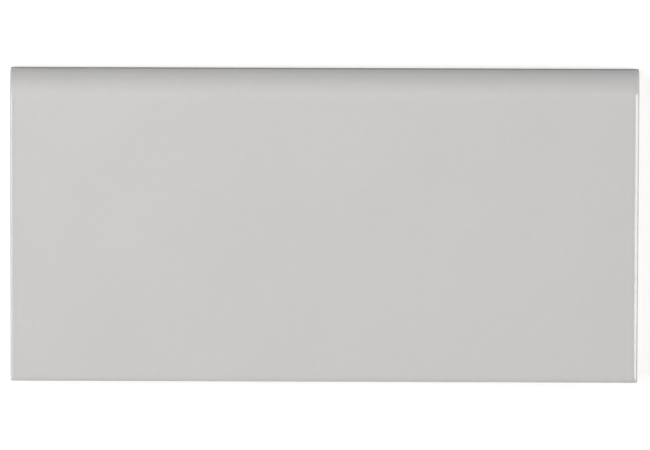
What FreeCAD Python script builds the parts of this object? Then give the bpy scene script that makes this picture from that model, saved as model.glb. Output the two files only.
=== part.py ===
import FreeCAD
import Part

import os

# Bullnose wall tile: one dust-pressed, glazed ceramic piece lying on its keyed back.
# X runs along the bullnosed edge, +Y points at the bullnose and +Z out of the glazed face.
# The origin is the centre of the back, in the plane that the tile lies on.

# Driving dimensions, in millimetres
tile_length = 150.0
tile_width = 75.0
tile_thickness = 8.0
bullnose_foot = 2.5  # straight foot left under the quarter-round
arris_radius = 1.0  # softening of the other glazed edges
corner_radius = 0.4  # the standing corners, nearly as sharp as the die
back_bevel = 0.3  # bevel that the press leaves round the back

# Keyed back: shallow pockets between ribs, which hold the adhesive
key_depth = 0.6
key_margin = 5.0  # plain border round the pockets
key_rib = 2.5
key_pocket = 9.0  # pocket size aimed at, before the pockets are spread evenly
key_wall_run = 0.4  # how far each pocket wall leans in over its depth

# Sizes that follow from the driving dimensions
half_length = tile_length / 2
half_width = tile_width / 2
bullnose_radius = tile_thickness - bullnose_foot

# How near a coordinate has to be to count as lying in a plane
same_plane = 1e-4


def edges_where(shape, wanted):
    """The edges of a shape whose bounding box passes a test."""
    return [edge for edge in shape.Edges if wanted(edge.BoundBox)]


def in_plane(low, high, place):
    """True if a span of coordinates lies in the plane at that place."""
    return abs(low - place) < same_plane and abs(high - place) < same_plane


def pressed_half():
    """One half of the plain block that the press makes, placed with the tile's end at X = 0."""
    corner = FreeCAD.Vector(-half_length, -half_width, 0)
    return Part.makeBox(half_length, tile_width, tile_thickness, corner)


def round_bullnose(half):
    """Rolls the face over the long +Y edge in a quarter-round down to the foot."""

    def long_upper_edge(box):
        on_side = in_plane(box.YMin, box.YMax, half_width)
        return on_side and in_plane(box.ZMin, box.ZMax, tile_thickness)

    return half.makeFillet(bullnose_radius, edges_where(half, long_upper_edge))


def softening(edge):
    """The fillet radius at the start and at the end of an edge, or None if it stays as it is."""
    box = edge.BoundBox
    on_end = in_plane(box.XMin, box.XMax, 0)
    on_lower_side = in_plane(box.YMin, box.YMax, -half_width)
    if in_plane(box.ZMin, box.ZMax, tile_thickness):
        return (arris_radius, arris_radius) if on_end or on_lower_side else None
    if not on_end or in_plane(box.ZMin, box.ZMax, 0):
        return None
    if box.YLength < same_plane:
        return corner_radius, corner_radius
    # The end of the bullnose: the arris tapers from the face into the corner at the foot.
    # The fillet takes the radii of this edge from its last point to its first.
    heights = [edge.valueAt(place).z for place in reversed(edge.ParameterRange)]
    return tuple(arris_radius if height > tile_thickness / 2 else corner_radius for height in heights)


def soften_edges(half):
    """Rounds the arrises and the standing corners, each edge with its own radii."""
    document = FreeCAD.newDocument("bullnose_tile")
    sharp = document.addObject("Part::Feature", "sharp_half")
    sharp.Shape = half
    softened = document.addObject("Part::Fillet", "softened_half")
    softened.Base = sharp
    radii = [(number, softening(edge)) for number, edge in enumerate(half.Edges, 1)]
    softened.Edges = [(number, *pair) for number, pair in radii if pair]
    document.recompute()
    return softened.Shape


def join_halves(half):
    """The whole tile: the half moved out to its place, and its mirror image for the other end."""
    right = half.translated(FreeCAD.Vector(half_length, 0, 0))
    left = right.mirror(FreeCAD.Vector(0, 0, 0), FreeCAD.Vector(1, 0, 0))
    return right.fuse(left).removeSplitter()


def bevel_back(tile):
    """Bevels the whole outline of the back."""
    outline = edges_where(tile, lambda box: in_plane(box.ZMin, box.ZMax, 0))
    return tile.makeChamfer(back_bevel, outline)


def pocket_row(length):
    """Where the pockets start along one side of the back, and how long each one is."""
    span = length - 2 * key_margin
    count = max(1, round((span + key_rib) / (key_pocket + key_rib)))
    size = (span - (count - 1) * key_rib) / count
    starts = [-span / 2 + i * (size + key_rib) for i in range(count)]
    return starts, size


def key_pockets():
    """Every pocket of the back as a frustum, wide at the back and narrower at its floor."""
    x_starts, x_size = pocket_row(tile_length)
    y_starts, y_size = pocket_row(tile_width)
    # A wedge tapers along its own Y, so it is built along Y and then tipped up on to Z.
    wedge = Part.makeWedge(
        0, 0, 0, key_wall_run, key_wall_run,
        x_size, key_depth, y_size, y_size - key_wall_run, x_size - key_wall_run,
    )
    wedge.rotate(FreeCAD.Vector(0, 0, 0), FreeCAD.Vector(1, 0, 0), 90)
    wedge.translate(FreeCAD.Vector(0, y_size, 0))
    pockets = []
    for x in x_starts:
        for y in y_starts:
            pockets.append(wedge.translated(FreeCAD.Vector(x, y, 0)))
    return pockets


def build_tile():
    # The ends are alike, so one is shaped at X = 0, where its fillets don't depend on the length.
    half = pressed_half()
    half = round_bullnose(half)
    half = soften_edges(half)
    tile = bevel_back(join_halves(half))
    return tile.cut(Part.makeCompound(key_pockets()))


def main():
    tile = build_tile()
    os.makedirs("parts", exist_ok=True)
    tile.exportStep("parts/bullnose_tile.step")
    box = tile.optimalBoundingBox(False)
    print(f"bullnose_tile: {len(tile.Solids)} solid, valid {tile.isValid()}, volume {tile.Volume:.1f} mm3")
    print(f"size {box.XLength:.3f} x {box.YLength:.3f} x {box.ZLength:.3f} mm, lowest z {box.ZMin:.4f}")


main()
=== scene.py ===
import math

import bmesh
import bpy
from mathutils import Euler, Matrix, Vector


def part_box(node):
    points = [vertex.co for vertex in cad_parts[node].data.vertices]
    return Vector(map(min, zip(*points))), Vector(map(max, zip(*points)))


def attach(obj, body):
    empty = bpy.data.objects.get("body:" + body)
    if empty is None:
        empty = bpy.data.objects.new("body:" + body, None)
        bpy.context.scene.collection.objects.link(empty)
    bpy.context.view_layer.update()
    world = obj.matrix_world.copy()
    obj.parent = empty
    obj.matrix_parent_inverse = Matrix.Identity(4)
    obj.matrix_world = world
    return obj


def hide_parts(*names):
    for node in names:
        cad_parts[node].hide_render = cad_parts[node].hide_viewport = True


# Glazed bullnose wall tile, lying on its back on a white studio floor

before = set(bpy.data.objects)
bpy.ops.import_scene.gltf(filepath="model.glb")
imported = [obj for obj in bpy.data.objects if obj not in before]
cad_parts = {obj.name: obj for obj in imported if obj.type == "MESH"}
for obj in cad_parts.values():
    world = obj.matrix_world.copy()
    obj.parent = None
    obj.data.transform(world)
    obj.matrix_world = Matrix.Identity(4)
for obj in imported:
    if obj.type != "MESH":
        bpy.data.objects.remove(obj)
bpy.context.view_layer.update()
tileLow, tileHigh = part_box("bullnose_tile")
print("frame loaded, nodes:", ", ".join(sorted(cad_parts)))

mm = 0.001  # the tile is shaped in millimetres and brought to metres at the end
tileLength, tileWidth, tileThickness = (tileHigh - tileLow) / mm
halfLength = tileLength / 2
halfWidth = tileWidth / 2

tileShape = {
    "bullnoseRadius": 5.5,
    "bullnoseSteps": 24,
    "arrisWidth": 1.2,  # the arris is a flattened quarter-round
    "arrisDepth": 0.8,
    "arrisCuts": (1.2, 1.0, 0.8, 0.6),  # distances from the outline
    "cornerRadius": 0.4,
    "cornerSteps": 6,
    "backBevel": 0.3,
    "backSteps": 2,
    "faceCell": 2.5,  # the glazed face is cut into cells of this size
    "waveDepth": 0.03,  # how far the fired glaze dips
    "waveLength": 22.0,
    "waveSlope": 0.3,  # only where the normal's z is above this
    "smoothAngle": 35,
}

backKey = {
    "depth": 0.6,
    "margin": 5.0,
    "rib": 2.5,
    "pocket": 9.0,  # size aimed at, before the pockets are spread evenly
    "wallRun": 0.4,  # how far a pocket wall leans in
    "softening": 0.15,
    "softSteps": 2,
}

# half sizes of an oblong round all the pockets, halfway across the plain border
keyReach = (halfLength - backKey["margin"] / 2, halfWidth - backKey["margin"] / 2)


# picking and cutting in edit mode

samePlace = 0.01  # millimetres within which two places count as one
tiny = 0.001  # millimetres below which a distance counts as none
pointsDown = -0.99  # z of the normal of a face that is part of the back
leans = 0.9  # z of the normal below which a face is a wall


def pick(kind, wanted):
    bpy.ops.mesh.select_mode(type=kind)
    bpy.ops.mesh.select_all(action="DESELECT")
    mesh = bpy.context.edit_object.data
    shape = bmesh.from_edit_mesh(mesh)
    shape.normal_update()
    for part in shape.faces if kind == "FACE" else shape.edges:
        if wanted(part):
            part.select_set(True)
    shape.select_flush_mode()
    bmesh.update_edit_mesh(mesh)


def near(a, b):
    return abs(a - b) < samePlace


def liesAt(edge, axis, place):
    return all(near(corner.co[axis], place) for corner in edge.verts)


def cutAcross(wanted, axis, place):
    pick("FACE", wanted)
    across = Vector([float(i == axis) for i in range(3)])
    bpy.ops.mesh.bisect(plane_co=across * place, plane_no=across, threshold=tiny)


def bevelPicked(width, steps):
    bpy.ops.mesh.bevel(offset=width, segments=steps, profile=0.5, affect="EDGES", clamp_overlap=False)


# the tile itself

def isBack(face):
    return face.normal.z < pointsDown and near(face.calc_center_median().z, 0)


def isLongUpperEdge(edge):
    return liesAt(edge, 1, halfWidth) and liesAt(edge, 2, tileThickness)


def isOuterEdge(edge):
    onEnd = liesAt(edge, 0, halfLength) or liesAt(edge, 0, -halfLength)
    onLowerEdge = liesAt(edge, 1, -halfWidth) and liesAt(edge, 2, tileThickness)
    return onLowerEdge or (onEnd and not liesAt(edge, 2, 0))


def pressBlank():
    bpy.ops.object.select_all(action="DESELECT")
    bpy.ops.mesh.primitive_cube_add(size=1, location=(0, 0, tileThickness / 2))
    tile = bpy.context.object
    tile.name = "glazed_bullnose_tile"
    tile.scale = (tileLength, tileWidth, tileThickness)
    bpy.ops.object.transform_apply(location=True, rotation=False, scale=True)
    return tile


def roundEdges():
    pick("EDGE", isLongUpperEdge)
    bevelPicked(tileShape["bullnoseRadius"], tileShape["bullnoseSteps"])
    pick("EDGE", isOuterEdge)
    bevelPicked(tileShape["cornerRadius"], tileShape["cornerSteps"])
    pick("EDGE", lambda edge: liesAt(edge, 2, 0))
    bevelPicked(tileShape["backBevel"], tileShape["backSteps"])


def cutFaceCells():
    cell = tileShape["faceCell"]
    for axis, half in ((0, halfLength), (1, halfWidth)):
        lines = int(half / cell)
        for i in range(-lines, lines + 1):
            if abs(i * cell) < half - tileShape["arrisWidth"]:
                cutAcross(lambda face: not isBack(face), axis, i * cell)
    for inset in tileShape["arrisCuts"]:
        for axis, place in ((0, halfLength - inset), (0, inset - halfLength), (1, inset - halfWidth)):
            cutAcross(lambda face: not isBack(face), axis, place)


def pocketRow(length):
    span = length - 2 * backKey["margin"]
    count = max(1, round((span + backKey["rib"]) / (backKey["pocket"] + backKey["rib"])))
    size = (span - (count - 1) * backKey["rib"]) / count
    return [(-span / 2 + i * (size + backKey["rib"]), size) for i in range(count)]


def pressKey():
    rows = [pocketRow(tileLength), pocketRow(tileWidth)]
    for axis in (0, 1):
        for start, size in rows[axis]:
            cutAcross(isBack, axis, start)
            cutAcross(isBack, axis, start + size)

    def inPocket(face):
        centre = face.calc_center_median()
        hits = [any(start < centre[axis] < start + size for start, size in rows[axis]) for axis in (0, 1)]
        return isBack(face) and all(hits)

    def insideBorder(edge):
        return all(abs(edge.verts[0].co[axis]) < keyReach[axis] for axis in (0, 1))

    def isRim(edge):
        slopes = [abs(face.normal.z) for face in edge.link_faces]
        return liesAt(edge, 2, 0) and min(slopes) < leans and insideBorder(edge)

    pick("FACE", inPocket)
    bpy.ops.mesh.inset(thickness=backKey["wallRun"], depth=-backKey["depth"], use_individual=True)
    pick("EDGE", isRim)
    bevelPicked(backKey["softening"], backKey["softSteps"])


def insetFromOutline(x, y):
    # how far a point lies inside the ends and the lower edge, round their corners too
    corner = tileShape["cornerRadius"]
    pastEnd = abs(x) - halfLength + corner
    pastLower = -y - halfWidth + corner
    return corner - math.hypot(max(0, pastEnd), max(0, pastLower)) - min(0, max(pastEnd, pastLower))


def arrisHeight(x, y):
    # height of the face or of the quarter-round, less what the arris falls near the outline
    out = min(1, max(0, 1 - insetFromOutline(x, y) / tileShape["arrisWidth"]))
    fall = tileShape["arrisDepth"] * (1 - math.sqrt(1 - out ** 2))
    roll = tileShape["bullnoseRadius"]
    past = min(roll, max(0, y - halfWidth + roll))
    return tileThickness - roll + math.sqrt(roll ** 2 - past ** 2) - fall


def sinkArris(tile):
    depth = tileShape["arrisDepth"]
    sunk = tile.vertex_groups.new(name="sunk")
    for corner in tile.data.vertices:
        fall = corner.co.z - arrisHeight(corner.co.x, corner.co.y)
        if fall > tiny:
            sunk.add([corner.index], min(1, fall / depth), "REPLACE")
    sink = tile.modifiers.new("sinkArris", "DISPLACE")
    sink.direction = "Z"
    sink.vertex_group = sunk.name
    sink.mid_level = 0.0
    sink.strength = -depth
    bpy.ops.object.modifier_apply(modifier=sink.name)


def waveGlaze(tile):
    foot = tileThickness - tileShape["bullnoseRadius"]
    glazed = tile.vertex_groups.new(name="glazed")
    for corner in tile.data.vertices:
        if corner.co.z > foot and corner.normal.z > tileShape["waveSlope"]:
            glazed.add([corner.index], 1.0, "REPLACE")
    wave = bpy.data.textures.new("glazeWave", "CLOUDS")
    wave.noise_scale = tileShape["waveLength"]
    wave.noise_depth = 1
    dip = tile.modifiers.new("glazeDip", "DISPLACE")
    dip.texture = wave
    dip.texture_coords = "LOCAL"
    dip.vertex_group = glazed.name
    dip.mid_level = 1.0  # only ever inwards, so the tile keeps its size
    dip.strength = tileShape["waveDepth"]
    bpy.ops.object.modifier_apply(modifier=dip.name)


def smoothShade(tile):
    bpy.ops.object.shade_smooth_by_angle(angle=math.radians(tileShape["smoothAngle"]))
    even = tile.modifiers.new("evenNormals", "WEIGHTED_NORMAL")
    even.keep_sharp = True
    bpy.ops.object.modifier_apply(modifier=even.name)


def makeTile():
    tile = pressBlank()
    bpy.ops.object.mode_set(mode="EDIT")
    roundEdges()
    cutFaceCells()
    pressKey()
    bpy.ops.mesh.select_all(action="SELECT")
    bpy.ops.mesh.normals_make_consistent(inside=False)
    bpy.ops.object.mode_set(mode="OBJECT")
    sinkArris(tile)
    waveGlaze(tile)
    tile.scale = (mm, mm, mm)
    bpy.ops.object.transform_apply(location=False, rotation=False, scale=True)
    smoothShade(tile)
    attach(tile, "root")
    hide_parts("bullnose_tile")
    print("tile modelled:", len(tile.data.polygons), "faces")
    return tile


# node helpers

def feed(tree, socket, value):
    if isinstance(value, bpy.types.NodeSocket):
        tree.links.new(value, socket)
    else:
        socket.default_value = value


def calc(tree, operation, *values):
    node = tree.nodes.new("ShaderNodeMath")
    node.operation = operation
    for socket, value in zip(node.inputs, values):
        feed(tree, socket, value)
    return node.outputs[0]


def vectorCalc(tree, operation, first, second):
    node = tree.nodes.new("ShaderNodeVectorMath")
    node.operation = operation
    feed(tree, node.inputs[0], first)
    feed(tree, node.inputs["Scale" if operation == "SCALE" else 1], second)
    return node.outputs["Vector"]


def vectorLength(tree, vector):
    node = tree.nodes.new("ShaderNodeVectorMath")
    node.operation = "LENGTH"
    feed(tree, node.inputs[0], vector)
    return node.outputs["Value"]


def fade(tree, value, start, end):
    node = tree.nodes.new("ShaderNodeMapRange")
    node.interpolation_type = "SMOOTHSTEP"
    feed(tree, node.inputs["Value"], value)
    feed(tree, node.inputs["From Min"], start)
    feed(tree, node.inputs["From Max"], end)
    return node.outputs["Result"]


def spread(tree, value, low, high):
    node = tree.nodes.new("ShaderNodeMapRange")
    feed(tree, node.inputs["Value"], value)
    feed(tree, node.inputs["To Min"], low)
    feed(tree, node.inputs["To Max"], high)
    return node.outputs["Result"]


def grain(tree, where, size, detail=2.0):
    node = tree.nodes.new("ShaderNodeTexNoise")
    feed(tree, node.inputs["Vector"], where)
    node.inputs["Scale"].default_value = 1 / (size * mm)
    node.inputs["Detail"].default_value = detail
    return node.outputs["Fac"]


def mottle(tree, where, tones):
    size, least, most = tones
    return spread(tree, grain(tree, where, size), least, most)


def wander(tree, where, size, width, detail=2.0):
    half = width / 2 * mm
    return spread(tree, grain(tree, where, size, detail), -half, half)


def blend(tree, amount, first, second):
    node = tree.nodes.new("ShaderNodeMix")
    node.data_type = "RGBA"
    feed(tree, node.inputs["Factor"], amount)
    feed(tree, node.inputs[6], first)
    feed(tree, node.inputs[7], second)
    return node.outputs[2]


def blendNumber(tree, amount, first, second):
    node = tree.nodes.new("ShaderNodeMix")
    feed(tree, node.inputs["Factor"], amount)
    feed(tree, node.inputs[2], first)
    feed(tree, node.inputs[3], second)
    return node.outputs[0]


def objectPlace(tree):
    where = tree.nodes.new("ShaderNodeTexCoord").outputs["Object"]
    split = tree.nodes.new("ShaderNodeSeparateXYZ")
    feed(tree, split.inputs[0], where)
    return where, split.outputs


def beyond(tree, coordinate, half):
    # how far a point lies outside a half size in millimetres, on either side
    return calc(tree, "SUBTRACT", calc(tree, "ABSOLUTE", coordinate), half * mm)


# glaze over a pale fired body; lengths are in millimetres

finish = {
    "glazeColour": (0.585, 0.577, 0.565),
    "wideMottle": (18.0, 0.975, 1.025),  # a mottle is a grain size, then the least and the most
    "fineMottle": (1.6, 0.98, 1.02),
    "edgeShade": 0.97,  # the glaze colour is darker towards the ends and the lower edge
    "edgeWidth": 2.4,
    "footPaintedShade": 0.42,  # painted shade: the glaze is painted darker down the foot of the bullnose
    "footPaintedFrom": 3.1,  # heights over which that painted shade deepens
    "footPaintedTo": 1.4,
    "footPaintedGrain": 6.0,
    "footPaintedWave": 0.5,
    "glazeRoughness": (9.0, 0.05, 0.09),  # a mottle too
    "glazeIor": 1.5,
    "peelGrain": 2.2,  # faint ripple of the fired glaze
    "peelHeight": 0.003,
    "lap": 1.7,  # how far the glaze laps over the straight sides
    "lapGrain": 7.0,
    "lapWave": 1.1,
    "lapSoftness": 0.04,
    "footBare": 0.55,  # body left bare under the bullnose
    "footWander": 0.4,  # share of the lap's wave that this line has
    "glazeThickness": 0.12,
    "bodyColour": (0.74, 0.69, 0.6, 1),
    "bodyMottle": (0.5, 0.9, 1.1),
    "bodyCloud": (12.0, 0.96, 1.04),
    "bodySpeck": (0.5, 0.43, 0.34, 1),
    "speckGrain": 0.35,
    "speckFrom": 0.7,  # levels of that grain between which a speck comes up
    "speckTo": 0.76,
    "bodyRoughness": 0.85,
    "gritGrain": 0.4,
    "gritHeight": 0.06,
    "pocketPaintedShade": 0.86,  # painted shade: the pockets of the back are painted darker with depth
    "pocketShadeFrom": 0.1,
}


def glazeCover(tree, where, height):
    # distance below the rolled rim, from a quarter-round section that runs the length of the tile
    radius = tileShape["bullnoseRadius"] * mm
    centre = (0, halfWidth * mm - radius, tileThickness * mm - radius)
    fromCentre = vectorCalc(tree, "SUBTRACT", where, centre)
    section = vectorCalc(tree, "MULTIPLY", fromCentre, (0, 1, 1))
    reach = vectorLength(tree, vectorCalc(tree, "MAXIMUM", section, (0, 0, 0)))
    drop = calc(tree, "SUBTRACT", radius, reach)
    wave = wander(tree, where, finish["lapGrain"], finish["lapWave"], detail=3.0)
    soft = finish["lapSoftness"] * mm
    line = calc(tree, "ADD", finish["lap"] * mm, wave)
    onRim = fade(tree, calc(tree, "SUBTRACT", line, drop), -soft, soft)
    footLine = calc(tree, "MULTIPLY_ADD", wave, finish["footWander"], finish["footBare"] * mm)
    aboveFoot = fade(tree, calc(tree, "SUBTRACT", height, footLine), -soft, soft)
    return calc(tree, "MULTIPLY", onRim, aboveFoot)


def glazeColour(tree, where, parts):
    wide = mottle(tree, where, finish["wideMottle"])
    tone = calc(tree, "MULTIPLY", wide, mottle(tree, where, finish["fineMottle"]))
    pastEnd = beyond(tree, parts["X"], halfLength)
    pastLower = calc(tree, "SUBTRACT", calc(tree, "MULTIPLY", parts["Y"], -1.0), halfWidth * mm)
    nearEdge = fade(tree, calc(tree, "MAXIMUM", pastEnd, pastLower), -finish["edgeWidth"] * mm, 0.0)
    edge = spread(tree, nearEdge, 1.0, finish["edgeShade"])
    # painted shade along the foot of the bullnose, darker lower down
    wave = wander(tree, where, finish["footPaintedGrain"], finish["footPaintedWave"])
    height = calc(tree, "ADD", parts["Z"], wave)
    nearFoot = fade(tree, height, finish["footPaintedFrom"] * mm, finish["footPaintedTo"] * mm)
    footShading = spread(tree, nearFoot, 1.0, finish["footPaintedShade"])
    shade = calc(tree, "MULTIPLY", edge, footShading)
    return vectorCalc(tree, "SCALE", finish["glazeColour"], calc(tree, "MULTIPLY", tone, shade))


def bodyColour(tree, where, parts):
    pastX = beyond(tree, parts["X"], keyReach[0])
    pastY = beyond(tree, parts["Y"], keyReach[1])
    overKey = calc(tree, "LESS_THAN", calc(tree, "MAXIMUM", pastX, pastY), 0.0)
    # painted shade in the pockets of the back, darker deeper down
    sunk = fade(tree, parts["Z"], finish["pocketShadeFrom"] * mm, backKey["depth"] * mm)
    pocketShading = spread(tree, calc(tree, "MULTIPLY", sunk, overKey), 1.0, finish["pocketPaintedShade"])
    cloud = mottle(tree, where, finish["bodyCloud"])
    tone = calc(tree, "MULTIPLY", mottle(tree, where, finish["bodyMottle"]), cloud)
    specks = grain(tree, where, finish["speckGrain"], detail=1.0)
    speck = fade(tree, specks, finish["speckFrom"], finish["speckTo"])
    colour = blend(tree, speck, finish["bodyColour"], finish["bodySpeck"])
    return vectorCalc(tree, "SCALE", colour, calc(tree, "MULTIPLY", tone, pocketShading))


def makeFinish():
    material = bpy.data.materials.new("greyGlazeOnBody")
    material.use_nodes = True
    tree = material.node_tree
    shader = tree.nodes["Principled BSDF"]
    where, parts = objectPlace(tree)
    cover = glazeCover(tree, where, parts["Z"])
    body = bodyColour(tree, where, parts)
    glaze = glazeColour(tree, where, parts)
    feed(tree, shader.inputs["Base Color"], blend(tree, cover, body, glaze))
    gloss = mottle(tree, where, finish["glazeRoughness"])
    feed(tree, shader.inputs["Roughness"], blendNumber(tree, cover, finish["bodyRoughness"], gloss))
    shader.inputs["IOR"].default_value = finish["glazeIor"]
    peel = mottle(tree, where, (finish["peelGrain"], 0.0, finish["peelHeight"] * mm))
    grit = spread(tree, grain(tree, where, finish["gritGrain"], detail=3.0), 0.0, finish["gritHeight"] * mm)
    relief = blendNumber(tree, cover, grit, calc(tree, "ADD", peel, finish["glazeThickness"] * mm))
    bump = tree.nodes.new("ShaderNodeBump")
    bump.inputs["Distance"].default_value = 1.0
    feed(tree, bump.inputs["Height"], relief)
    feed(tree, shader.inputs["Normal"], bump.outputs["Normal"])
    print("finish made:", material.name)
    return material


# studio: white floor, soft light from both sides, camera above; lengths are in metres

studio = {
    "horizonLight": 0.32,  # light of the room, at the horizon and straight overhead
    "overheadLight": 0.212,
    "roomShine": 0.8,  # how bright the room is in reflections
    "floorRadius": 0.5,
    "floorSides": 96,
    "floorGap": 0.02 * mm,  # keeps the floor clear of the back
    "floorColour": (0.6, 0.6, 0.6, 1),
    "floorGlow": 0.52,  # seen by the camera only, near the tile
    "rimGlow": 0.6,  # and at the rim, where less light falls
    "glowFrom": 0.1,  # distance from the middle at which it starts to grow
    "floorSheen": 0.45,  # seen in reflections only
    "paintedShadowReach": 9.0 * mm,  # painted shadow: distance from the tile over which that sheen comes up
}

softLights = {
    "left_front": {"at": (-0.36, -0.25, 0.3), "wide": 0.22, "tall": 0.22, "watts": 0.1},
    "left_back": {"at": (-0.25, 0.2, 0.5), "wide": 0.2, "tall": 0.2, "watts": 1.2},
    "left_side": {"at": (-1.2, -0.2, 0.5), "wide": 0.5, "tall": 0.42, "watts": 6.0},
    "overhead": {"at": (0.0, -0.045, 1.0), "wide": 0.9, "tall": 0.13, "watts": 0.34},
    "right_tall": {"at": (1.25, -0.15, 0.93), "wide": 0.38, "tall": 1.56, "watts": 14.6},
}

unmirrored = ["left_back"]  # it would leave a white spot on a corner of the bullnose

cameraPlace = {
    "at": (0.00967, 0.48725, 2.76696),
    "turn": (-10.0, 0.227, 0.167),  # degrees about x, y and z
    "lens": 650.0,
    "sensor": 36.0,
    "nearest": 0.01,
}


def seenDirectly(tree, toCamera, toShine):
    path = tree.nodes.new("ShaderNodeLightPath")
    shiny = calc(tree, "MAXIMUM", path.outputs["Is Glossy Ray"], path.outputs["Is Transmission Ray"])
    shine = calc(tree, "MULTIPLY", shiny, toShine)
    return calc(tree, "MULTIPLY_ADD", path.outputs["Is Camera Ray"], toCamera, shine)


def makeWorld():
    world = bpy.data.worlds.new("whiteRoom")
    bpy.context.scene.world = world
    world.use_nodes = True
    tree = world.node_tree
    background = tree.nodes["Background"]
    background.inputs["Color"].default_value = (1, 1, 1, 1)
    parts = objectPlace(tree)[1]
    room = spread(tree, parts["Z"], studio["horizonLight"], studio["overheadLight"])
    seen = seenDirectly(tree, 1.0, studio["roomShine"])
    feed(tree, background.inputs["Strength"], calc(tree, "MAXIMUM", seen, room))


def floorLevel(tree):
    where, parts = objectPlace(tree)
    pastX = beyond(tree, parts["X"], halfLength)
    pastY = beyond(tree, parts["Y"], halfWidth)
    # painted shadow: near the tile the floor's sheen is taken away
    outsidePaintedShadow = fade(tree, calc(tree, "MAXIMUM", pastX, pastY), 0.0, studio["paintedShadowReach"])
    sheen = calc(tree, "MULTIPLY", outsidePaintedShadow, studio["floorSheen"])
    fromMiddle = vectorLength(tree, vectorCalc(tree, "MULTIPLY", where, (1, 1, 0)))
    outwards = fade(tree, fromMiddle, studio["glowFrom"], studio["floorRadius"])
    glow = spread(tree, outwards, studio["floorGlow"], studio["rimGlow"])
    return seenDirectly(tree, glow, sheen)


def floorFinish():
    material = bpy.data.materials.new("whiteFloor")
    material.use_nodes = True
    tree = material.node_tree
    tree.nodes.remove(tree.nodes["Principled BSDF"])
    matt = tree.nodes.new("ShaderNodeBsdfDiffuse")
    matt.inputs["Color"].default_value = studio["floorColour"]
    glow = tree.nodes.new("ShaderNodeEmission")
    feed(tree, glow.inputs["Strength"], floorLevel(tree))
    both = tree.nodes.new("ShaderNodeAddShader")
    feed(tree, both.inputs[0], matt.outputs[0])
    feed(tree, both.inputs[1], glow.outputs[0])
    feed(tree, tree.nodes["Material Output"].inputs["Surface"], both.outputs[0])
    return material


def makeFloor():
    bpy.ops.object.select_all(action="DESELECT")
    bpy.ops.mesh.primitive_circle_add(
        vertices=studio["floorSides"],
        radius=studio["floorRadius"],
        fill_type="NGON",
        location=(0, 0, tileLow.z - studio["floorGap"]),
    )
    floor = bpy.context.object
    floor.name = "studio_floor"
    floor.data.materials.append(floorFinish())


def addSoftLight(name, light):
    # aimed at the tile's middle line; a side lamp is wide along y and the overhead one along x
    at = Vector(light["at"])
    aim = Vector((at.x, 0, at.z)).to_track_quat("Z", "Y")
    bpy.ops.object.light_add(type="AREA", location=at, rotation=aim.to_euler())
    lamp = bpy.context.object
    lamp.name = name
    lamp.data.shape = "RECTANGLE"
    lamp.data.size = light["wide"]
    lamp.data.size_y = light["tall"]
    lamp.data.energy = light["watts"]
    lamp.visible_camera = False
    lamp.visible_glossy = name not in unmirrored


def addCamera():
    turn = Euler([math.radians(angle) for angle in cameraPlace["turn"]])
    bpy.ops.object.camera_add(location=cameraPlace["at"], rotation=turn)
    camera = bpy.context.object
    camera.data.lens = cameraPlace["lens"]
    camera.data.sensor_width = cameraPlace["sensor"]
    camera.data.clip_start = cameraPlace["nearest"]
    bpy.context.scene.camera = camera


tile = makeTile()
tile.data.materials.append(makeFinish())
makeWorld()
makeFloor()
for name, light in softLights.items():
    addSoftLight(name, light)
addCamera()
bpy.context.scene.view_settings.view_transform = "Standard"
print("studio ready")
